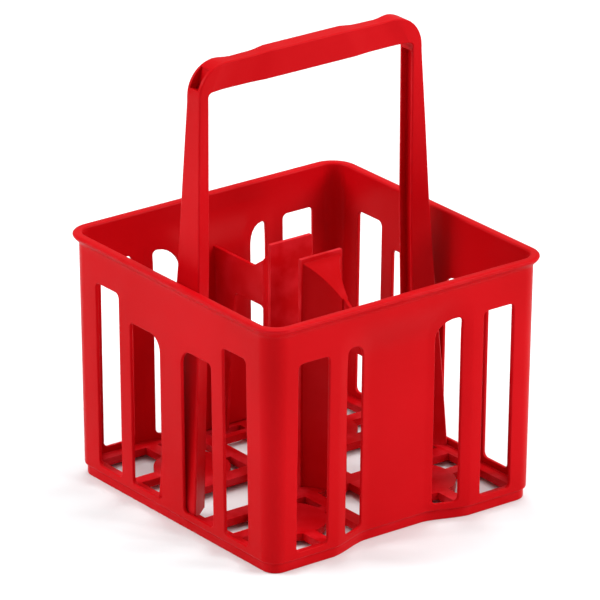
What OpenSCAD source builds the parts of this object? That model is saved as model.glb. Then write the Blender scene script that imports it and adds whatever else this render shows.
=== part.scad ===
// Moulded plastic carrier with four square wells and a fixed loop handle.
// +Z is up, X runs along the handle, and the origin is the middle of the underside.

/* [Basket] */
// Outside width of the rim, on both sides of the square
rim_w = 223; // [214:1:240]
// Height of the rim above the table
rim_h = 168; // [162:1:190]
// Wall thickness of the moulding
wall_t = 2.5; // [2:0.1:3.5]
// How far the rim lip stands out past the walls
lip_out = 4; // [2:0.1:5]
// Height of the rim lip
lip_h = 6; // [4:0.5:9]
// How much nearer the middle each wall is at its foot than at its rim
draft = 2.5; // [1:0.1:4]
// Outer corner radius just under the rim
corner_r = 14; // [11:0.5:16]

/* [Base] */
// Height of the inset base ring
base_h = 7; // [5:0.5:9]
// How far the base ring is set in from the foot of the walls
base_inset = 1.7; // [1:0.1:2.5]
// Height of the floor's top above the table
floor_top = 8; // [7:0.5:9]
// Thickness of the floor's open lattice
floor_t = 5; // [3:0.5:6]
// Radius of the pad in the middle of each well
pad_r = 25; // [20:1:27]
// Width of the spokes that carry the pads
spoke_w = 9; // [5:0.5:12]

/* [Windows] */
// Lower edge of the windows
window_z0 = 12; // [10:0.5:16]
// Upper edge of the windows
window_z1 = 140; // [125:1:142]
// Upper edge of the inner windows of a plain wall, beside the handle
low_window_z1 = 124.5; // [115:0.5:140]
// Width of an outer window
outer_window_w = 25; // [20:1:26]
// Half of the gap between the two outer windows of a fluted wall
fluted_outer_x = 61; // [58:1:62]
// Outer edge of the inner windows of a fluted wall
fluted_inner_x = 45.5; // [43:0.5:50]
// Half of the gap between the two outer windows of a plain wall
plain_outer_x = 55.5; // [53:0.5:60]
// Outer edge of the inner windows of a plain wall
plain_inner_x = 43.5; // [40:0.5:46]

/* [Dividers] */
// Top of the low part of a divider
divider_h = 135; // [120:1:138]
// Top of the flange at the inner end of a divider
flange_h = 165; // [155:1:166]
// Width of that flange
flange_w = 33; // [26:1:38]
// Distance of the flange from the middle of the basket
flange_y = 14.5; // [12:0.5:18]

/* [Handle] */
// Overall height, to the top of the grip
handle_h = 306.5; // [280:0.5:330]
// Width of the handle, outside the posts
handle_w = 176; // [170:1:182]
// Height of the grip's section
grip_h = 19; // [16:0.5:24]
// Thickness of the grip, front to back
grip_t = 14; // [12:0.5:18]
// Depth of a post under the grip, along X
post_d = 7.5; // [6:0.5:10]

/* [Hidden] */
$fn = 64;
red = "#c8101a";

wall_top = rim_w / 2 - lip_out;          // outer face of a wall at the rim
corner_c = wall_top - corner_r;          // axis of every vertical corner, in X and Y
wall_foot = wall_top - draft;            // outer face of a wall at the table
base_out = wall_foot - base_inset;       // outer face of the base ring
lean = atan(draft / rim_h);              // angle of the walls
flute_hw = 24;                           // half width of the flat panel in the flute
flute_end = 51;                          // where the flute meets the plain wall
flute_depth = 9;                         // how far the panel is set in
flute_steps = 6;                         // flats in each side of the flute
fluted_r = 14;                           // upper inner corner of a fluted wall's inner windows
plain_r = 10;                            // the same, of a plain wall
small_r = 3;                             // every other window corner
plain_edge_x = 11.5;                     // inner edge of a plain wall's inner windows
fluted_edge_x = 28.5;                    // the same, of a fluted wall
panel_in = flute_depth + wall_t;         // inner face of the panel, behind the wall's face
opening_y = [42.5, 74.5];                // the opening in a divider, from the middle
opening_foot_y = 84;                     // its outer edge at the floor
opening_h = 110;                         // top of that opening
flange_t = 3;                            // thickness of a divider's flange
floor_z = floor_top - floor_t;           // underside of the lattice
strip_in = 94;                           // inner edge of the strip round the floor
strip_y = [19.5, 31];                    // strips along X, from the middle
strip_x = [13, 23];                      // strips along Y, from the middle
cross_y = [76, 81];                      // ties across the gap between those strips
well = 52;                               // centre of a well, in X and Y
well_r = 50.75;                          // radius of the round space each well keeps clear
spoke_c = 54;                            // middle of the spokes, in X and Y
web_end = 42;                            // where the web behind a flange ends
web_slope = 0.8;                         // fall of the web's top, outwards
low_y0 = 54;                             // where the low part of a divider starts
plate_drop = 4;                          // how far the plate stays under the flange's top
opening_r = 4;                           // upper corners of the opening in a divider
post_rim_x = 92.5;                       // outer face of a post at the rim
post_rim_d = 12;                         // depth of a post at the rim
post_rim_w = 23;                         // width of a post's outer face at the rim
post_foot_d = 18;                        // depth of a post at its foot
post_foot_w = 40;                        // width of a post's outer face at its foot
groove_w = 10;                           // groove down the inner face of a post
groove_d = 4.5;                          // depth of that groove
grip_z = handle_h - grip_h;              // underside of the grip
knee_r = grip_h + 3;                     // outer corner radius of the handle
knee_z = handle_h - knee_r;              // where a post meets the handle's corner
channel_t = 8.5;                         // width of the channel over each handle corner
channel_d = 6;                           // depth of that channel
channel_z = grip_z + 3;                  // lower end of that channel

web_fall = web_slope * (web_end - flange_y);  // how far the web's top falls in all

// Outer face of a wall at height z
function face(z) = wall_foot + draft * z / rim_h;

// Smooth step from 0 to 1
function smooth(u) = u <= 0 ? 0 : u >= 1 ? 1 : u * u * (3 - 2 * u);

// How deep the flute is at height z: full depth below, running out at the band
function flute_at(z) = flute_depth * (1 - 0.85 * smooth((z - 118) / 42));

// Half width of the flute's flat panel, which opens out towards the rim
function panel_hw(z) = flute_hw + 14 * pow(smooth((z - 132) / 40), 2);

// How far the wall's face is set in at x and z
function inset(x, z) =
    flute_at(z) * (1 - smooth((abs(x) - panel_hw(z)) / (flute_end - panel_hw(z))));

// ---------- windows ----------

// Rectangle from x0 to x1, up to z1, with one large upper corner on the side nearer x = 0
module window(x0, x1, z1, r_in) {
    z0 = window_z0;
    difference() {
        translate([x0, z0])
            square([x1 - x0, z1 - z0]);
        corner_cut(x0, z1, 1, -1, r_in);
        corner_cut(x1, z1, -1, -1, small_r);
        corner_cut(x0, z0, 1, 1, small_r);
        corner_cut(x1, z0, -1, 1, small_r);
    }
}

// What rounding the corner at (x, z) takes away; sx and sz point into the window
module corner_cut(x, z, sx, sz, r) {
    translate([x, z])
        scale_signs(sx, sz)
            difference() {
                translate([-1, -1])
                    square(r + 1);
                translate([r, r])
                    circle(r);
            }
}

module scale_signs(sx, sz) {
    mirror([sx < 0 ? 1 : 0, 0])
        mirror([0, sz < 0 ? 1 : 0])
            children();
}

// Both windows of each half of a wall, through the wall at -Y
module windows(edge_x, inner_x, inner_z1, outer_x, r_in) {
    for (side = [0, 1])
        mirror([side, 0, 0])
            translate([0, -wall_top + panel_in + 20, 0])
                rotate([90, 0, 0])
                    linear_extrude(panel_in + 40) {
                        window(edge_x, inner_x, inner_z1, r_in);
                        window(outer_x, outer_x + outer_window_w, window_z1, small_r);
                    }
}

// ---------- walls ----------

// Plain leaning plate at -Y, between the corners, with its windows
module plain_wall() {
    difference() {
        intersection() {
            translate([0, -wall_foot, 0])
                rotate([lean, 0, 0])
                    translate([-corner_c, 0, -5])
                        cube([2 * corner_c, wall_t, rim_h + 10]);
            translate([-corner_c, -rim_w, base_h])
                cube([2 * corner_c, 2 * rim_w, rim_h - base_h]);
        }
        windows(plain_edge_x, plain_inner_x, low_window_z1, plain_outer_x, plain_r);
    }
}

// Wall at -Y with the flute in its middle
module fluted_wall() {
    xs = flute_x();
    zs = [base_h, 60, 118, 126, 134, 142, 150, 158, rim_h];
    nx = len(xs);
    nz = len(zs);
    layer = nx * nz;
    points = concat(
        [for (z = zs) for (x = xs) [x, -face(z) + inset(x, z), z]],
        [for (z = zs) for (x = xs) [x, -face(z) + inset(x, z) + wall_t, z]]);
    outer = [for (j = [0:nz - 2]) for (i = [0:nx - 2])
        each quad(j * nx + i, j * nx + i + 1, (j + 1) * nx + i + 1, (j + 1) * nx + i)];
    inner = [for (f = outer) [f[2] + layer, f[1] + layer, f[0] + layer]];
    foot = [for (i = [0:nx - 2]) each quad(i + layer, i + 1 + layer, i + 1, i)];
    head_0 = (nz - 1) * nx;
    head = [for (i = [0:nx - 2])
        each quad(head_0 + i, head_0 + i + 1, head_0 + i + 1 + layer, head_0 + i + layer)];
    ends = [for (j = [0:nz - 2]) for (i = [0, nx - 1])
        each i == 0
            ? quad(j * nx, (j + 1) * nx, (j + 1) * nx + layer, j * nx + layer)
            : quad(j * nx + i + layer, (j + 1) * nx + i + layer, (j + 1) * nx + i, j * nx + i)];
    difference() {
        polyhedron(points, [for (f = concat(outer, inner, foot, head, ends)) [f[2], f[1], f[0]]]);
        windows(fluted_edge_x, fluted_inner_x, window_z1, fluted_outer_x, fluted_r);
    }
}

// Stations across the fluted wall
function flute_x() = let (
    side = [for (k = [0:flute_steps]) flute_hw + (flute_end - flute_hw) * k / flute_steps])
    concat([-corner_c], [for (k = [flute_steps:-1:0]) -side[k]], side, [corner_c]);

// Two triangles
function quad(a, b, c, d) = [[a, b, c], [a, c, d]];

// Vertical corner between two walls, at -X -Y
module corner() {
    foot_r = face(base_h) - corner_c;
    translate([-corner_c, -corner_c, 0])
        rotate([0, 0, 180])
            rotate_extrude(angle = 90)
                polygon([[foot_r - wall_t, base_h], [foot_r, base_h],
                         [corner_r, rim_h], [corner_r - wall_t, rim_h]]);
}

// Square ring with round corners whose section is the polygon given, measured out from corner_c
module square_ring(section) {
    for (k = [0:3])
        rotate([0, 0, 90 * k]) {
            translate([-corner_c, -corner_c, 0])
                rotate([90, 0, 90])
                    linear_extrude(2 * corner_c)
                        mirror([1, 0])
                            polygon(section);
            translate([corner_c, corner_c, 0])
                rotate_extrude(angle = 90)
                    polygon(section);
        }
}

module rim_lip() {
    z0 = rim_h - lip_h;
    r0 = face(z0) - corner_c;
    color(red)
        square_ring([[r0, z0], [r0 + 0.4, z0], [corner_r + lip_out, rim_h - lip_h / 2],
                     [corner_r + lip_out, rim_h - 0.8], [corner_r + lip_out - 0.8, rim_h],
                     [corner_r, rim_h]]);
}

module front_wall() {
    color(red)
        fluted_wall();
}

module back_wall() {
    color(red)
        rotate([0, 0, 180])
            fluted_wall();
}

module left_wall() {
    color(red)
        rotate([0, 0, -90])
            plain_wall();
}

module right_wall() {
    color(red)
        rotate([0, 0, 90])
            plain_wall();
}

module corner_front_left() {
    color(red)
        corner();
}

module corner_front_right() {
    color(red)
        rotate([0, 0, 90])
            corner();
}

module corner_back_right() {
    color(red)
        rotate([0, 0, 180])
            corner();
}

module corner_back_left() {
    color(red)
        rotate([0, 0, 270])
            corner();
}

// ---------- base and floor ----------

// Plan of the base, moved out by grow: a square with round corners, dented by the two flutes
module base_plan(grow) {
    half = base_out + grow;
    r = half - corner_c;
    dent = [for (x = flute_x()) [x, -half + inset(x, 0)]];
    polygon(concat(dent, [for (p = dent) [-p[0], -p[1]]]));
    square([2 * half, 2 * corner_c], center = true);
    for (sx = [-1, 1])
        for (sy = [-1, 1])
            translate([sx * corner_c, sy * corner_c])
                circle(r);
}

module base_ring() {
    color(red)
        linear_extrude(base_h)
            difference() {
                base_plan(0);
                base_plan(-wall_t);
            }
}

// Strip round the floor, strips on both sides of the middle, and the ties between them
module floor_frame() {
    color(red)
        translate([0, 0, floor_z])
            linear_extrude(floor_t)
                difference() {
                    base_plan(-wall_t);
                    for (sx = [-1, 1])
                        for (sy = [-1, 1]) {
                            between([sx * strip_x[1], sy * strip_y[1]],
                                    [sx * strip_in, sy * strip_in]);
                            between([0, sy * strip_y[1]], [sx * strip_x[0], sy * cross_y[0]]);
                            between([0, sy * cross_y[1]], [sx * strip_x[0], sy * (strip_in - 6)]);
                            between([sx * strip_x[1], 0], [sx * strip_in, sy * strip_y[0]]);
                        }
                }
}

// Rectangle between two opposite corners
module between(a, b) {
    translate([min(a[0], b[0]), min(a[1], b[1])])
        square([abs(b[0] - a[0]), abs(b[1] - a[1])]);
}

// Pad and spokes of the well at sx, sy
module floor_well(sx, sy) {
    color(red)
        translate([0, 0, floor_z])
            linear_extrude(floor_t)
                intersection() {
                    base_plan(-wall_t);
                    between([sx * strip_x[1], sy * strip_y[1]], [sx * strip_in, sy * strip_in]);
                    union() {
                        translate([sx * well, sy * well])
                            circle(pad_r);
                        translate([sx * spoke_c, sy * spoke_c]) {
                            square([rim_w, spoke_w], center = true);
                            square([spoke_w, rim_w], center = true);
                        }
                    }
                }
}

module floor_front_left() {
    floor_well(-1, -1);
}

module floor_front_right() {
    floor_well(1, -1);
}

module floor_back_right() {
    floor_well(1, 1);
}

module floor_back_left() {
    floor_well(-1, 1);
}

// ---------- dividers ----------

// Plate in the X = 0 plane towards -Y, with an opening down to the floor, and a flange
// at its inner end with a web behind it
module divider() {
    foot_y = -face(floor_top) + panel_in;
    low_y = -face(118) + panel_in;
    high_y = -face(divider_h) + flute_at(divider_h) + wall_t;
    inner_y = -flange_y - flange_t;
    color(red) {
        rotate([90, 0, 90])
            translate([0, 0, -wall_t / 2])
                linear_extrude(wall_t)
                    difference() {
                        polygon([[foot_y, floor_top], [low_y, 118], [high_y, divider_h],
                                 [-low_y0, divider_h], [-web_end, flange_h - web_fall],
                                 [inner_y, flange_h - plate_drop], [inner_y, floor_top]]);
                        opening();
                    }
        translate([-flange_w / 2, inner_y, floor_top])
            cube([flange_w, flange_t, flange_h - floor_top]);
        web();
    }
}

// Web between flange and plate: each side follows its well and the top falls outwards
module web() {
    y0 = -web_end;
    y1 = -flange_y - flange_t / 2;
    intersection() {
        translate([0, 0, floor_top])
            linear_extrude(flange_h)
                difference() {
                    between([-flange_w / 2 + 0.5, y0], [flange_w / 2 - 0.5, y1]);
                    for (s = [-1, 1])
                        translate([s * well, -well])
                            circle(well_r, $fn = 96);
                }
        translate([-flange_w, 0, 0])
            rotate([90, 0, 90])
                linear_extrude(2 * flange_w)
                    polygon([[y0 - 1, 0], [y1 + 1, 0], [y1 + 1, flange_h - 0.5],
                             [-flange_y, flange_h - 0.5], [y0, flange_h - web_fall],
                             [y0 - 1, flange_h - web_fall]]);
    }
}

// Side outline of the opening in a divider, wider at the floor
module opening() {
    r = opening_r;
    top = opening_h - r;
    translate([-opening_y[1] + r, floor_top - 1])
        square([opening_y[1] - opening_y[0] - 2 * r, opening_h - floor_top + 1]);
    polygon([[-opening_y[1], top], [-opening_y[0], top], [-opening_y[0], floor_top - 1],
             [-opening_foot_y, floor_top - 1]]);
    for (y = [opening_y[0] + r, opening_y[1] - r])
        translate([-y, top])
            circle(r);
}

module divider_front() {
    divider();
}

module divider_back() {
    rotate([0, 0, 180])
        divider();
}

// ---------- handle ----------

// Section of the post at +X: height, outer face, depth, and widths of inner and outer faces
function post_section(z, x, d, w) =
    [[x - d, -grip_t / 2, z], [x, -w / 2, z], [x, w / 2, z], [x - d, grip_t / 2, z]];

// Side outline of the groove in the post at +X
module groove() {
    foot_x = face(floor_top) - wall_t - post_foot_d;
    rim_x = post_rim_x - post_rim_d;
    knee_x = handle_w / 2 - post_d;
    polygon([[foot_x + groove_d, floor_top - 1], [rim_x + groove_d, rim_h],
             [knee_x + groove_d, knee_z + 1], [knee_x - groove_d, knee_z + 1],
             [knee_x - groove_d, floor_top - 1]]);
}

// Post at +X: it widens and leans out on its way down to the foot of the wall
module post() {
    rings = [post_section(floor_top, face(floor_top) - wall_t, post_foot_d, post_foot_w),
             post_section(rim_h, post_rim_x, post_rim_d, post_rim_w),
             post_section(knee_z, handle_w / 2, post_d, grip_t)];
    sides = [for (j = [0, 1]) for (i = [0:3])
        each quad(4 * j + i, 4 * j + (i + 1) % 4, 4 * j + 4 + (i + 1) % 4, 4 * j + 4 + i)];
    ends = concat(quad(3, 2, 1, 0), quad(8, 9, 10, 11));
    difference() {
        polyhedron([for (ring = rings) each ring],
                   [for (f = concat(sides, ends)) [f[2], f[1], f[0]]]);
        translate([0, groove_w / 2, 0])
            rotate([90, 0, 0])
                linear_extrude(groove_w)
                    groove();
    }
}

module handle_post_right() {
    color(red)
        post();
}

module handle_post_left() {
    color(red)
        rotate([0, 0, 180])
            post();
}

// Front outline of the grip with both corners of the handle
module grip_outline() {
    x1 = handle_w / 2;
    difference() {
        union() {
            translate([-x1 + knee_r, grip_z])
                square([2 * (x1 - knee_r), grip_h]);
            for (s = [-1, 1])
                translate([s * (x1 - knee_r), knee_z])
                    circle(knee_r);
        }
        translate([-x1, knee_z - 2 * knee_r])
            square([2 * x1, 2 * knee_r]);
        translate([-x1 + post_d, knee_z - 1])
            square([2 * (x1 - post_d), grip_z - knee_z + 1]);
    }
}

// Plan of the grip: full at both ends, slim at two necks and fuller in the middle
module grip_plan() {
    end_t = grip_t / 2;
    neck_t = grip_t / 2 - 2.5;
    half = [[handle_w / 2, end_t], [72, end_t], [62, neck_t], [44, neck_t], [34, end_t - 1]];
    quarter = concat(half, [for (i = [4:-1:0]) [-half[i][0], half[i][1]]]);
    polygon(concat(quarter, [for (p = quarter) [-p[0], -p[1]]]));
}

// Grip across the posts, with a channel over the top of each corner
module handle_grip() {
    x1 = handle_w / 2;
    color(red)
        difference() {
            intersection() {
                translate([0, grip_t, 0])
                    rotate([90, 0, 0])
                        linear_extrude(2 * grip_t)
                            grip_outline();
                translate([0, 0, knee_z])
                    linear_extrude(knee_r)
                        grip_plan();
            }
            for (s = [0, 1])
                mirror([s, 0, 0])
                    translate([x1 - knee_r, channel_t / 2, knee_z])
                        rotate([90, 0, 0])
                            linear_extrude(channel_t)
                                difference() {
                                    translate([4, channel_z - knee_z])
                                        square(knee_r);
                                    circle(knee_r - channel_d);
                                }
        }
}

rim_lip();
left_wall();
right_wall();
front_wall();
back_wall();
corner_front_left();
corner_front_right();
corner_back_right();
corner_back_left();
base_ring();
floor_frame();
floor_front_left();
floor_front_right();
floor_back_right();
floor_back_left();
divider_front();
divider_back();
handle_post_left();
handle_post_right();
handle_grip();
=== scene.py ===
import math

import bmesh
import bpy
from mathutils import Matrix, Vector
from mathutils.geometry import delaunay_2d_cdt


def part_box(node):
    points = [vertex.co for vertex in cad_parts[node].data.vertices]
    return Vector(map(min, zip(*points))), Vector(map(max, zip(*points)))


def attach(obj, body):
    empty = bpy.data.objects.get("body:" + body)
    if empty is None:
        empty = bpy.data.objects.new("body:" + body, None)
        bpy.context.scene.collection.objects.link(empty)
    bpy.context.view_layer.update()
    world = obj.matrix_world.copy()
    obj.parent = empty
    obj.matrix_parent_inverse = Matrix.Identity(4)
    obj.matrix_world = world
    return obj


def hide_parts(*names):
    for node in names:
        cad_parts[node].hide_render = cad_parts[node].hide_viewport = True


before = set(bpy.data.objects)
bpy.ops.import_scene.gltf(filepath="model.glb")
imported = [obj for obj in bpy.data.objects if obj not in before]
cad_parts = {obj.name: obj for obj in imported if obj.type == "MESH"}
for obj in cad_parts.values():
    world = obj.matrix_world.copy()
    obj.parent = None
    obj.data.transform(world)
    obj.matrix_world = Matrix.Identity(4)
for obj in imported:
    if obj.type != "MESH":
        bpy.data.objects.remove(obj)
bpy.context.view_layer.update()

MM = 0.001
UP = Vector((0, 0, 1))


def node_box(name):
    """A node's box in millimetres."""
    low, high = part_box(name)
    return [v / MM for v in low], [v / MM for v in high]


# ---------- sizes, in millimetres, from the frame ----------

RIM_OUT = node_box("rim_lip")[1][0]
RIM_H = node_box("rim_lip")[1][2]
BASE_OUT = node_box("base_ring")[1][0]
CORNER_C = node_box("front_wall")[1][0]      # axis of every vertical corner
WALL_FOOT_Z = node_box("front_wall")[0][2]
FLOOR_HIGH = node_box("floor_frame")[1][2]
HANDLE_X = node_box("handle_grip")[1][0]
HANDLE_H = node_box("handle_grip")[1][2]
KNEE_Z = node_box("handle_grip")[0][2]
POST_FOOT_X = node_box("handle_post_right")[1][0]

LIP_OUT = 4.0                                # how far the lip stands out past the walls
LIP_H = 7.5
WALL_T = 2.5
DRAFT = 2.5                                  # how much nearer the middle a wall's foot is
WALL_FOOT = RIM_OUT - LIP_OUT - DRAFT        # outer face of a wall at the table
EDGE_R = 0.7                                 # rounding of every window's edge
SMALL_R = 3.5                                # every window corner but the large ones
WINDOW_Z0, WINDOW_Z1, LOW_WINDOW_Z1 = 12.0, 140.0, 124.5
BAND_Z = WINDOW_Z1 + 2.5                     # below this the walls have windows
FLUTE_DEPTH, FLUTE_HW, FLUTE_END = 9.0, 24.0, 54.0
FADE_Z, FADE_H = 126, 32                     # the flute runs out from here up, over this height
FLARE_Z, FLARE_H, FLARE_W = 128, 36, 16      # its panel widens: from, over, and by how much
CORNER_STEPS = 14
# nearer edge, further edge, top and large corner radius of the windows in half a wall
PLAIN_WINDOWS = [(11.5, 43.5, LOW_WINDOW_Z1, 10.0), (55.5, 80.5, WINDOW_Z1, SMALL_R)]
FLUTED_WINDOWS = [(28.5, 45.5, WINDOW_Z1, 13.0), (61.0, 85.5, WINDOW_Z1, SMALL_R)]
SHARP_ANGLE = math.radians(40)               # edges past this stay sharp
BEVEL_ANGLE = math.radians(50)               # edges past this are rounded on the flat pieces
FLAT_ANGLE = math.radians(0.5)               # faces that meet within this become one


# ---------- mesh helpers ----------

def make_piece(name, verts, faces, nodes, mat, merge=0.02):
    """A closed mesh piece from millimetre vertices, standing for the CAD nodes named."""
    mesh = bpy.data.meshes.new(name)
    mesh.from_pydata([Vector(v) * MM for v in verts], [], faces)
    bm = bmesh.new()
    bm.from_mesh(mesh)
    bmesh.ops.remove_doubles(bm, verts=bm.verts, dist=merge * MM)
    bmesh.ops.dissolve_degenerate(bm, edges=bm.edges, dist=0.001 * MM)
    bmesh.ops.recalc_face_normals(bm, faces=bm.faces)
    bm.to_mesh(mesh)
    bm.free()
    obj = link_new(name, mesh)
    finish_piece(obj, nodes, mat)
    return obj


def link_new(name, data):
    """A new object in the scene."""
    obj = bpy.data.objects.new(name, data)
    bpy.context.scene.collection.objects.link(obj)
    return obj


def finish_piece(obj, nodes, mat):
    """Material, shading, body and the CAD nodes that the piece stands for."""
    obj.data.materials.clear()
    obj.data.materials.append(mat)
    for poly in obj.data.polygons:
        poly.use_smooth = True
    bm = bmesh.new()
    bm.from_mesh(obj.data)
    for edge in bm.edges:
        edge.smooth = edge.calc_face_angle(0) <= SHARP_ANGLE
    bm.to_mesh(obj.data)
    bm.free()
    weight_normals(obj)
    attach(obj, "root")
    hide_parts(*nodes)


def weight_normals(obj):
    """Shade by the larger faces, with the sharp edges kept."""
    obj.modifiers.new("normals", "WEIGHTED_NORMAL").keep_sharp = True


def copy_node(name, piece):
    """A new object with a cleaned copy of a CAD node's mesh."""
    mesh = bpy.data.meshes.new(piece)
    join_flats(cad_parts[name].data, mesh, 0.002)
    return link_new(piece, mesh)


def join_flats(source, target, merge):
    """Write `source` to `target` with its doubles merged and its flats made single faces."""
    bm = bmesh.new()
    bm.from_mesh(source)
    bmesh.ops.remove_doubles(bm, verts=bm.verts, dist=merge * MM)
    bmesh.ops.dissolve_limit(bm, angle_limit=FLAT_ANGLE, verts=bm.verts, edges=bm.edges)
    bm.to_mesh(target)
    bm.free()


def apply_modifiers(obj):
    """Make what the modifiers show the object's own mesh."""
    deps = bpy.context.evaluated_depsgraph_get()
    mesh = bpy.data.meshes.new_from_object(obj.evaluated_get(deps))
    obj.modifiers.clear()
    obj.data = mesh


def bevel(obj, width):
    """Round the edges between faces that meet at more than BEVEL_ANGLE."""
    mod = obj.modifiers.new("bevel", "BEVEL")
    mod.width = width * MM
    mod.segments = 2
    mod.limit_method = "ANGLE"
    mod.angle_limit = BEVEL_ANGLE
    mod.use_clamp_overlap = True
    apply_modifiers(obj)


def boolean(obj, other, operation):
    """Join `other` to the object or cut it away, and delete it."""
    mod = obj.modifiers.new("cut", "BOOLEAN")
    mod.operation = operation
    mod.object = other
    mod.solver = "EXACT"
    apply_modifiers(obj)
    bpy.data.objects.remove(other)


def strip(row_a, row_b, closed=False):
    """Quads between two rows of vertex numbers."""
    n = len(row_a)
    last = n if closed else n - 1
    return [(row_a[i], row_a[(i + 1) % n], row_b[(i + 1) % n], row_b[i]) for i in range(last)]


def strips(rows, closed=False):
    """Quads between every two rows that follow each other."""
    return [f for a, b in zip(rows, rows[1:]) for f in strip(a, b, closed)]


def row_numbers(count, length):
    """Vertex numbers of `count` rows of `length` vertices each."""
    return [list(range(j * length, (j + 1) * length)) for j in range(count)]


class Skin:
    """Vertices and faces gathered piece by piece."""

    def __init__(self):
        self.verts, self.faces = [], []

    def add(self, verts, faces):
        """Add faces whose numbers count from the first of `verts`."""
        base = len(self.verts)
        self.verts.extend(verts)
        self.faces.extend(tuple(base + i for i in f) for f in faces)

    def sweep(self, profile):
        """The profile's (height, depth) points carried once round the basket."""
        rows = [perimeter(z, d) for z, d in profile]
        numbers = row_numbers(len(rows), len(rows[0]))
        self.add([p for row in rows for p in row], strips(numbers, closed=True))


def smooth(u):
    """Smooth step from 0 to 1."""
    u = min(max(u, 0.0), 1.0)
    return u * u * (3 - 2 * u)


# ---------- the basket's surface ----------

def face(z):
    """Outer face of a wall at height z."""
    return WALL_FOOT + DRAFT * z / RIM_H


def flute_inset(u, z):
    """How far a fluted wall is set in: a flat panel whose sides and top run out to the wall."""
    depth = FLUTE_DEPTH * (1 - smooth((z - FADE_Z) / FADE_H))
    panel = FLUTE_HW + FLARE_W * smooth((z - FLARE_Z) / FLARE_H) ** 2
    side = (abs(u) - panel) / (FLUTE_END - panel)
    if side <= 0:
        return depth
    side = min(side, 1.0)
    return depth * (1 - 0.5 * side - 0.5 * smooth(side))


def wall_point(side, u, z, d):
    """Point on wall `side` (0 front, 1 right, 2 back, 3 left), d below the outer face."""
    inset = flute_inset(u, z) if side % 2 == 0 else 0.0
    y = -face(z) + inset + d
    return turn(side, u, y, z)


def turn(side, x, y, z):
    """A point on the front wall, turned to wall `side`."""
    c, s = ((1, 0), (0, 1), (-1, 0), (0, -1))[side]
    return (c * x - s * y, s * x + c * y, z)


def corner_point(side, t, z, d):
    """Point on the corner after wall `side`; t runs from 0 to 1 round it."""
    r = face(z) - CORNER_C - d
    a = math.radians(-90 + 90 * t)
    return turn(side, CORNER_C + r * math.cos(a), -CORNER_C + r * math.sin(a), z)


def stations(side):
    """Places across a wall, closer together where it is fluted."""
    if side % 2:
        return [CORNER_C * k / 8 for k in range(-8, 9)]
    half = [0, 8, 16, 21, FLUTE_HW] + [FLUTE_HW + 2.5 * k for k in range(1, 13)] + [62, 70, 78, 86]
    return sorted({-v for v in half} | set(half) | {-CORNER_C, CORNER_C})


def perimeter(z, d):
    """Row of points once round the basket at height z, d below the outer face."""
    row = []
    for side in range(4):
        row += [wall_point(side, u, z, d) for u in stations(side)[:-1]]
        row += [corner_point(side, k / CORNER_STEPS, z, d) for k in range(CORNER_STEPS)]
    return row


def window_loop(window, mirror, grow):
    """Rounded window outline grown by `grow`; every grow gives the same number of points."""
    x0, x1, z1, r_in = window
    steps, longest = 6, 7
    across, tall = math.ceil((x1 - x0) / longest), math.ceil((z1 - WINDOW_Z0) / longest)
    corners = [(x0 - grow, WINDOW_Z0 - grow, 1, 1, 180, SMALL_R, across),
               (x1 + grow, WINDOW_Z0 - grow, -1, 1, 270, SMALL_R, tall),
               (x1 + grow, z1 + grow, -1, -1, 0, SMALL_R, across),
               (x0 - grow, z1 + grow, 1, -1, 90, r_in, tall)]
    arcs = []
    for x, z, sx, sz, start, r, _ in corners:
        r += grow
        angles = [math.radians(start + 90 * k / steps) for k in range(steps + 1)]
        arcs.append([(x + sx * r + r * math.cos(a), z + sz * r + r * math.sin(a))
                     for a in angles])
    loop = []
    for k, arc in enumerate(arcs):
        (ax, az), (bx, bz) = arc[-1], arcs[(k + 1) % 4][0]
        n = corners[k][6]
        loop += arc + [(ax + (bx - ax) * j / n, az + (bz - az) * j / n) for j in range(1, n)]
    return [(-x, z) for x, z in reversed(loop)] if mirror else loop


def in_window(windows, u, z, grow):
    """Whether (u, z) is inside the box of a window grown by `grow`."""
    u = abs(u)
    return any(x0 - grow < u < x1 + grow and WINDOW_Z0 - grow < z < z1 + grow
               for x0, x1, z1, _ in windows)


def closed_edges(loops):
    """Edges of loops whose points are numbered one after the other."""
    edges = []
    start = 0
    for loop in loops:
        n = len(loop)
        edges += [(start + k, start + (k + 1) % n) for k in range(n)]
        start += n
    return edges


def flute_points(us, z0, windows):
    """Points inside a fluted wall that let it bend between its borders."""
    rows = [z0 + 4 + 8 * k for k in range(12)] + [110 + 4 * k for k in range(8)]
    return [(u, z) for u in us[1:-1] if abs(u) < 60 for z in rows
            if z < BAND_Z - 1.5 and not in_window(windows, u, z, 2.5)]


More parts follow.
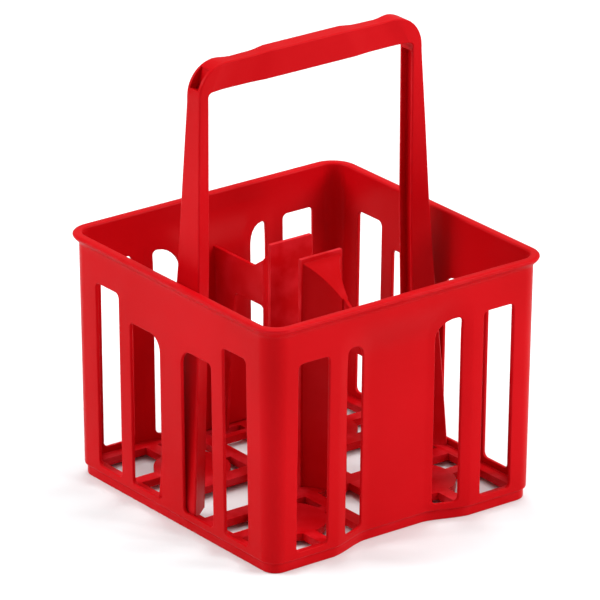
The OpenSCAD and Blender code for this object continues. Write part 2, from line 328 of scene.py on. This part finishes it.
def wall_panel(side, zs):
    """Both faces and the window edges of one wall, below the band."""
    windows = FLUTED_WINDOWS if side % 2 == 0 else PLAIN_WINDOWS
    halves = [(w, mirror) for w in windows for mirror in (False, True)]
    us = stations(side)
    border = [(u, zs[0]) for u in us[:-1]] + [(CORNER_C, z) for z in zs[:-1]]
    border += [(u, zs[-1]) for u in us[:0:-1]] + [(-CORNER_C, z) for z in zs[:0:-1]]
    loops = [border] + [window_loop(w, mirror, EDGE_R) for w, mirror in halves]
    points = [p for loop in loops for p in loop]
    if side % 2 == 0:
        points += flute_points(us, zs[0], windows)
    cut = delaunay_2d_cdt([Vector(p) for p in points], closed_edges(loops), [], 1, 1e-5)
    flat, tris = cut[0], cut[2]
    keep = []
    for tri in tris:
        u = sum(flat[i][0] for i in tri) / 3
        z = sum(flat[i][1] for i in tri) / 3
        if not hole_at(windows, u, z):
            keep.append(tri)
    skin = Skin()
    skin.add([wall_point(side, p[0], p[1], 0) for p in flat], keep)
    skin.add([wall_point(side, p[0], p[1], WALL_T) for p in flat],
             [tuple(reversed(t)) for t in keep])
    for w, mirror in halves:
        rings = []
        for a in (90, 60, 30, 0):
            grow = EDGE_R * (1 - math.cos(math.radians(a)))
            depth = EDGE_R * (1 - math.sin(math.radians(a)))
            rings.append((window_loop(w, mirror, grow), depth))
        rings += [(loop, WALL_T - depth) for loop, depth in reversed(rings)]
        numbers = row_numbers(len(rings), len(rings[0][0]))
        skin.add([wall_point(side, u, z, depth) for loop, depth in rings for u, z in loop],
                 strips(numbers, closed=True))
    return skin


def hole_at(windows, u, z):
    """Whether (u, z) is inside a window grown by the edge rounding."""
    u = abs(u)
    slack = 0.05
    for x0, x1, z1, r_in in windows:
        left, right, low, high = x0 - EDGE_R, x1 + EDGE_R, WINDOW_Z0 - EDGE_R, z1 + EDGE_R
        if not (left < u < right and low < z < high):
            continue
        big, small = r_in + EDGE_R, SMALL_R + EDGE_R
        corners = [(left + big, high - big, -1, 1, big),
                   (right - small, high - small, 1, 1, small - slack),
                   (left + small, low + small, -1, -1, small - slack),
                   (right - small, low + small, 1, -1, small - slack)]
        if not any((u - cx) * sx > 0 and (z - cz) * sz > 0 and math.dist((u, z), (cx, cz)) > r
                   for cx, cz, sx, sz, r in corners):
            return True
    return False


def build_shell(mat):
    """The four walls, the corners and the rim, as the one skin that they are."""
    foot_h = 1.5                             # height of the walls' rounded foot
    z0 = WALL_FOOT_Z + foot_h
    zs = [z0, 30, 52, 74, 96, 118, BAND_Z]
    skin = Skin()
    columns = CORNER_STEPS + 1
    for side in range(4):
        panel = wall_panel(side, zs)
        skin.add(panel.verts, panel.faces)
        for d in (0, WALL_T):
            skin.add([corner_point(side, k / CORNER_STEPS, z, d)
                      for z in zs for k in range(columns)],
                     strips(row_numbers(len(zs), columns)))
    skin.sweep(rim_profile())
    skin.sweep([(z0, WALL_T), (z0 - 0.8, WALL_T - 0.2), (WALL_FOOT_Z, WALL_T - 0.9),
                (WALL_FOOT_Z, 0.9), (z0 - 0.9, 0.2), (z0, 0)])
    nodes = ["rim_lip", "left_wall", "right_wall", "front_wall", "back_wall",
             "corner_front_left", "corner_front_right", "corner_back_right", "corner_back_left"]
    make_piece("basket_shell", skin.verts, skin.faces, nodes, mat, merge=0.01)


def rim_profile():
    """Height and depth of each point of the band and the rolled lip, outside to inside."""
    lip = [(-LIP_H, 0.0), (-6.4, -0.35), (-5.3, -1.1), (-4.2, -2.1), (-3.2, -3.1), (-2.4, -3.7),
           (-1.6, -LIP_OUT), (-0.9, -3.9), (-0.35, -3.4), (-0.05, -2.6), (0.0, -1.4), (0.0, 1.0),
           (-0.15, 1.7), (-0.6, 2.2), (-1.3, 2.45), (-2.2, WALL_T)]
    band = [BAND_Z + (RIM_H - LIP_H - BAND_Z) * k / 6 for k in range(6)]
    profile = [(z, 0.0) for z in band] + [(RIM_H + z, d) for z, d in lip]
    return profile + [(z, WALL_T) for z in reversed(band)]


# ---------- base, floor and dividers ----------

def build_base(mat):
    """Skirt under the walls, set in from them, with a rounded foot."""
    inset = face(0) - BASE_OUT
    t = WALL_T
    profile = [(FLOOR_HIGH, inset), (4.0, inset), (1.0, inset), (0.3, inset + 0.3),
               (0.0, inset + 0.9), (0.0, inset + t - 0.9), (0.3, inset + t - 0.3),
               (1.0, inset + t), (4.0, inset + t), (FLOOR_HIGH - 0.5, inset + t),
               (FLOOR_HIGH, inset + t - 0.5)]
    skin = Skin()
    skin.sweep([(z, d + face(z) - face(0)) for z, d in profile + profile[:1]])
    make_piece("base_skirt", skin.verts, skin.faces, ["base_ring"], mat)


def build_floor(mat):
    """The lattice: strips, pads and spokes joined, with every edge eased."""
    lattice = copy_node("floor_frame", "floor_lattice")
    wells = ["floor_front_left", "floor_front_right", "floor_back_right", "floor_back_left"]
    for name in wells:
        boolean(lattice, copy_node(name, name + "_union"), "UNION")
    join_flats(lattice.data, lattice.data, 0.01)
    bevel(lattice, 0.6)
    finish_piece(lattice, ["floor_frame"] + wells, mat)


def build_divider(name, mat):
    """Divider plate, flange and web with eased edges."""
    divider = copy_node(name, name + "_plate")
    bevel(divider, 0.5)
    finish_piece(divider, [name], mat)


# ---------- handle ----------

def lerp_table(table, x):
    """The table's values at x, between its rows."""
    for (x0, *a), (x1, *b) in zip(table, table[1:]):
        if x <= x1:
            t = (x - x0) / (x1 - x0)
            return [p + (q - p) * t for p, q in zip(a, b)]
    return list(table[-1][1:])


KNEE_R = HANDLE_H - KNEE_Z
GRIP_Z = HANDLE_H - KNEE_R + 3               # underside of the grip
POST_IN_X = 80.5                             # inner face of a post above the rim
POST_TOP = KNEE_Z - 4                        # the knee's sections start above this
FILLET_R = 2.5                               # inner corner between post and grip
# height, outer face, inner face, half width outside, half width inside
POST = [(FLOOR_HIGH, POST_FOOT_X - 0.2, 84.6, 19.8, 7.0),
        (60, 99.4, 83.3, 17.6, 7.0),
        (110, 96.2, 82.0, 14.6, 7.0),
        (RIM_H, 92.5, POST_IN_X, 11.5, 7.0),
        (230, 90.2, POST_IN_X, 9.0, 7.0),
        (POST_TOP, HANDLE_X, POST_IN_X, 7.0, 7.0)]
# distance from the middle, drop of the top, half width
GRIP = [(0, 0.3, 6.1), (30, 0.3, 6.1), (40, 1.2, 4.9), (58, 1.4, 4.7), (68, 0.6, 6.4), (90, 0, 7.0)]


def handle_sections():
    """Pairs of outer and inner points with half widths, from one foot over to the other."""
    half = []
    post_steps, knee_steps, grip_steps = 22, 12, 22
    knee_x, fillet_x = HANDLE_X - KNEE_R, POST_IN_X - FILLET_R
    for k in range(post_steps + 1):
        z = FLOOR_HIGH + (POST_TOP - FLOOR_HIGH) * k / post_steps
        xo, xi, wo, wi = lerp_table(POST, z)
        half.append(((xo, z), (xi, z), wo, wi))
    for k in range(knee_steps + 1):
        a = math.radians(90 * k / knee_steps)
        outer = (knee_x + KNEE_R * math.cos(a), KNEE_Z + KNEE_R * math.sin(a))
        inner = (fillet_x + FILLET_R * math.cos(a), GRIP_Z - FILLET_R + FILLET_R * math.sin(a))
        drop, w = lerp_table(GRIP, outer[0])
        half.append(((outer[0], outer[1] - drop * math.sin(a)), inner, w, w))
    for k in range(1, grip_steps + 1):
        x = knee_x * (1 - k / grip_steps)
        xi = fillet_x * (1 - k / grip_steps)
        drop, w = lerp_table(GRIP, x)
        half.append(((x, HANDLE_H - drop), (xi, GRIP_Z), w, w))
    other = [((-o[0], o[1]), (-i[0], i[1]), wo, wi) for o, i, wo, wi in reversed(half[:-1])]
    return half + other


def section_ring(outer, inner, wo, wi):
    """Rounded four-sided section between an outer and an inner point of the handle."""
    round_r, steps = 1.1, 4
    o = Vector((outer[0], 0, outer[1]))
    i = Vector((inner[0], 0, inner[1]))
    depth = (o - i).length
    q = (o - i) / depth
    corners = [(0, -wi, 1, 1, 180), (depth, -wo, -1, 1, 270),
               (depth, wo, -1, -1, 0), (0, wi, 1, -1, 90)]
    ring = []
    for a0, y0, sa, sy, start in corners:
        for k in range(steps + 1):
            a = math.radians(start + 90 * k / steps)
            along = a0 + sa * round_r + round_r * math.cos(a)
            across = y0 + sy * round_r + round_r * math.sin(a)
            ring.append(i + q * along + Vector((0, across, 0)))
    return ring


def build_handle(mat):
    """Both posts and the grip as one loop, hollowed by the grooves and channels."""
    rings = [section_ring(*s) for s in handle_sections()]
    rows = row_numbers(len(rings), len(rings[0]))
    faces = strips(rows, closed=True) + [tuple(rows[0]), tuple(reversed(rows[-1]))]
    handle = make_piece("loop_handle", [p for ring in rings for p in ring], faces,
                        ["handle_post_left", "handle_post_right", "handle_grip"], mat)
    handle.modifiers.clear()
    for side in (-1, 1):
        boolean(handle, channel_cutter(side), "DIFFERENCE")
        boolean(handle, groove_cutter(side), "DIFFERENCE")
    weight_normals(handle)


def groove_cutter(side):
    """Prism that hollows a post's inner face from its foot to the handle's corner."""
    half_w, depth = 5.0, 4.5
    low, top, clear_x = FLOOR_HIGH - 1, KNEE_Z - 3, POST_IN_X - 4
    outline = [(xi + depth, z) for z, _, xi, _, _ in POST[:-1]]
    outline[0] = (outline[0][0], low)
    outline += [(POST_IN_X + depth, top), (clear_x, top), (clear_x, low)]
    n = len(outline)
    verts = [(side * x, y, z) for y in (-half_w, half_w) for x, z in outline]
    faces = strip(list(range(n)), list(range(n, 2 * n)), closed=True)
    faces += [tuple(range(n)), tuple(range(2 * n - 1, n - 1, -1))]
    return cutter_from(verts, faces)


def channel_cutter(side):
    """Ring sector that opens the outside of a handle corner, shallower towards the top."""
    half_w, depth, fade, ledge, clear, steps = 4.25, 6.0, 0.85, 3, 3, 16
    verts, faces = [], []
    first, last = math.asin((GRIP_Z + ledge - KNEE_Z) / KNEE_R), math.radians(56)
    for k in range(steps + 1):
        a = first + (last - first) * k / steps
        inner_r = KNEE_R - depth * (1 - fade * (k / steps) ** 2)
        for r in (inner_r, KNEE_R + clear):
            for y in (-half_w, half_w):
                verts.append((side * (HANDLE_X - KNEE_R + r * math.cos(a)), y,
                              KNEE_Z + r * math.sin(a)))
    for k in range(steps):
        b = 4 * k
        faces += [(b, b + 1, b + 5, b + 4), (b + 2, b + 6, b + 7, b + 3),
                  (b, b + 4, b + 6, b + 2), (b + 1, b + 3, b + 7, b + 5)]
    e = 4 * steps
    faces += [(0, 2, 3, 1), (e, e + 1, e + 3, e + 2)]
    return cutter_from(verts, faces)


def cutter_from(verts, faces):
    """An object to cut with; `boolean` deletes it."""
    mesh = bpy.data.meshes.new("cutter")
    mesh.from_pydata([Vector(v) * MM for v in verts], [], faces)
    bm = bmesh.new()
    bm.from_mesh(mesh)
    bmesh.ops.recalc_face_normals(bm, faces=bm.faces)
    bm.to_mesh(mesh)
    bm.free()
    return link_new("cutter", mesh)


# ---------- material ----------

def red_plastic():
    """Moulded polypropylene: faint colour drift, orange peel, scuffs and paler worn edges."""
    mat = bpy.data.materials.new("red_polypropylene")
    mat.use_nodes = True
    tree = mat.node_tree
    nodes, links = tree.nodes, tree.links
    shader = nodes["Principled BSDF"]
    shader.inputs["IOR"].default_value = 1.49
    shader.inputs["Specular IOR Level"].default_value = 0.04
    coords = nodes.new("ShaderNodeTexCoord")

    def noise(scale, detail, stretch=(1, 1, 1)):
        mapping = nodes.new("ShaderNodeMapping")
        mapping.inputs["Scale"].default_value = stretch
        links.new(coords.outputs["Object"], mapping.inputs["Vector"])
        tex = nodes.new("ShaderNodeTexNoise")
        tex.inputs["Scale"].default_value = scale
        tex.inputs["Detail"].default_value = detail
        links.new(mapping.outputs["Vector"], tex.inputs["Vector"])
        return tex.outputs["Fac"]

    def ramp(value, stops):
        node = nodes.new("ShaderNodeValToRGB")
        node.color_ramp.elements[0].position, node.color_ramp.elements[0].color = stops[0]
        node.color_ramp.elements[1].position, node.color_ramp.elements[1].color = stops[1]
        links.new(value, node.inputs["Fac"])
        return node.outputs["Color"]

    def remap(value, low, high):
        node = nodes.new("ShaderNodeMapRange")
        node.inputs["To Min"].default_value = low
        node.inputs["To Max"].default_value = high
        node.inputs["From Min"].default_value = 0.3
        node.inputs["From Max"].default_value = 0.7
        links.new(value, node.inputs["Value"])
        return node.outputs["Result"]

    drift = ramp(noise(9, 3), ((0.3, (0.47, 0.0013, 0.0032, 1)), (0.7, (0.55, 0.0022, 0.0056, 1))))
    geometry = nodes.new("ShaderNodeNewGeometry")
    edge = ramp(geometry.outputs["Pointiness"], ((0.52, (0, 0, 0, 1)), (0.60, (1, 1, 1, 1))))
    breakup = ramp(noise(70, 4), ((0.4, (0, 0, 0, 1)), (0.65, (0.5, 0.5, 0.5, 1))))
    wear = nodes.new("ShaderNodeMath")
    wear.operation = "MULTIPLY"
    links.new(edge, wear.inputs[0])
    links.new(breakup, wear.inputs[1])
    mix = nodes.new("ShaderNodeMix")
    mix.data_type = "RGBA"
    links.new(wear.outputs["Value"], mix.inputs["Factor"])
    links.new(drift, mix.inputs["A"])
    mix.inputs["B"].default_value = (0.78, 0.03, 0.045, 1)
    links.new(mix.outputs["Result"], shader.inputs["Base Color"])

    base_rough = remap(noise(26, 5), 0.27, 0.38)
    scuff = remap(noise(60, 6, (1, 1, 0.12)), 0.0, 0.09)
    rough = nodes.new("ShaderNodeMath")
    rough.operation = "ADD"
    links.new(base_rough, rough.inputs[0])
    links.new(scuff, rough.inputs[1])
    links.new(rough.outputs["Value"], shader.inputs["Roughness"])

    peel = nodes.new("ShaderNodeBump")
    peel.inputs["Strength"].default_value = 0.10
    peel.inputs["Distance"].default_value = 0.0006
    links.new(noise(320, 3), peel.inputs["Height"])
    waves = nodes.new("ShaderNodeBump")
    waves.inputs["Strength"].default_value = 0.2
    waves.inputs["Distance"].default_value = 0.0012
    links.new(noise(22, 2), waves.inputs["Height"])
    links.new(peel.outputs["Normal"], waves.inputs["Normal"])
    links.new(waves.outputs["Normal"], shader.inputs["Normal"])
    return mat


def floor_paper():
    """Matt background paper: faint tone, roughness and grain variation."""
    mat = bpy.data.materials.new("pale_floor")
    mat.use_nodes = True
    nodes, links = mat.node_tree.nodes, mat.node_tree.links
    shader = nodes["Principled BSDF"]
    shader.inputs["Specular IOR Level"].default_value = 0.1
    coords = nodes.new("ShaderNodeTexCoord")
    tone = nodes.new("ShaderNodeTexNoise")
    tone.inputs["Scale"].default_value = 1.5
    links.new(coords.outputs["Object"], tone.inputs["Vector"])
    mix = nodes.new("ShaderNodeMix")
    mix.data_type = "RGBA"
    mix.inputs["A"].default_value = (0.855, 0.93, 0.94, 1)
    mix.inputs["B"].default_value = (0.885, 0.96, 0.97, 1)
    links.new(tone.outputs["Fac"], mix.inputs["Factor"])
    links.new(mix.outputs["Result"], shader.inputs["Base Color"])
    rough = nodes.new("ShaderNodeMapRange")
    rough.inputs["To Min"].default_value = 0.72
    rough.inputs["To Max"].default_value = 0.88
    links.new(tone.outputs["Fac"], rough.inputs["Value"])
    links.new(rough.outputs["Result"], shader.inputs["Roughness"])
    grain = nodes.new("ShaderNodeTexNoise")
    grain.inputs["Scale"].default_value = 900
    links.new(coords.outputs["Object"], grain.inputs["Vector"])
    bump = nodes.new("ShaderNodeBump")
    bump.inputs["Strength"].default_value = 0.05
    bump.inputs["Distance"].default_value = 0.0003
    links.new(grain.outputs["Fac"], bump.inputs["Height"])
    links.new(bump.outputs["Normal"], shader.inputs["Normal"])
    return mat


# ---------- stage, lights and camera ----------

def build_stage():
    """White paper floor, in metres, and an even white world."""
    mesh = bpy.data.meshes.new("floor")
    half = 6.0
    mesh.from_pydata([(-half, -half, 0), (half, -half, 0), (half, half, 0), (-half, half, 0)],
                     [], [(0, 1, 2, 3)])
    floor = link_new("floor", mesh)
    mesh.materials.append(floor_paper())
    world = bpy.data.worlds.new("studio")
    world.use_nodes = True
    background = world.node_tree.nodes["Background"]
    background.inputs["Color"].default_value = (1, 1, 1, 1)
    background.inputs["Strength"].default_value = 0.50
    bpy.context.scene.world = world


def add_light(name, place, target, size, power):
    """A softbox at `place`, in metres, turned to `target`."""
    data = bpy.data.lights.new(name, "AREA")
    data.shape = "RECTANGLE"
    data.size, data.size_y = size
    data.energy = power
    lamp = link_new(name, data)
    lamp.location = place
    aim = Vector(target) - Vector(place)
    lamp.rotation_mode = "QUATERNION"
    lamp.rotation_quaternion = aim.to_track_quat("-Z", "Y")


def build_lights():
    """A softbox on each side of the camera and one overhead."""
    add_light("left_softbox", (-1.4, 0.95, 1.3), (0, 0, 0.12), (1.1, 1.1), 28)
    add_light("right_softbox", (1.25, -1.4, 1.3), (0, 0, 0.12), (1.1, 1.1), 37)
    add_light("top_softbox", (0.5, 0.4, 2.2), (0, 0, 0.1), (1.2, 1.2), 20)


AZIMUTH, ELEVATION, ROLL = -37.09, 22.01, 0.16       # degrees
DISTANCE = 4.0                               # metres, like the places below
AIM = Vector((0, 0, 0.1))
LENS = 374.4                                 # in millimetres, for a sensor 36 wide
AIM_RIGHT, AIM_DOWN = 0.0032, 0.02613        # the aim point's place from the view's middle


def build_camera():
    """The camera fitted to the photo."""
    az, el = math.radians(AZIMUTH), math.radians(ELEVATION)
    back = Vector((math.sin(az) * math.cos(el), -math.cos(az) * math.cos(el), math.sin(el)))
    right = (-back).cross(UP).normalized()
    up = back.cross(right)
    data = bpy.data.cameras.new("camera")
    data.sensor_width = 36
    data.lens = LENS
    data.clip_end = 50
    camera = link_new("camera", data)
    camera.location = AIM + back * DISTANCE - right * AIM_RIGHT + up * AIM_DOWN
    basis = Matrix((right, up, back)).transposed()
    camera.rotation_mode = "QUATERNION"
    turned = basis @ Matrix.Rotation(math.radians(ROLL), 3, "Z")
    camera.rotation_quaternion = turned.to_quaternion()
    bpy.context.scene.camera = camera


# ---------- build ----------

build_camera()
build_lights()
build_stage()
PLASTIC = red_plastic()
build_shell(PLASTIC)
build_base(PLASTIC)
build_floor(PLASTIC)
build_divider("divider_front", PLASTIC)
build_divider("divider_back", PLASTIC)
build_handle(PLASTIC)

bpy.context.scene.view_settings.view_transform = "Standard"
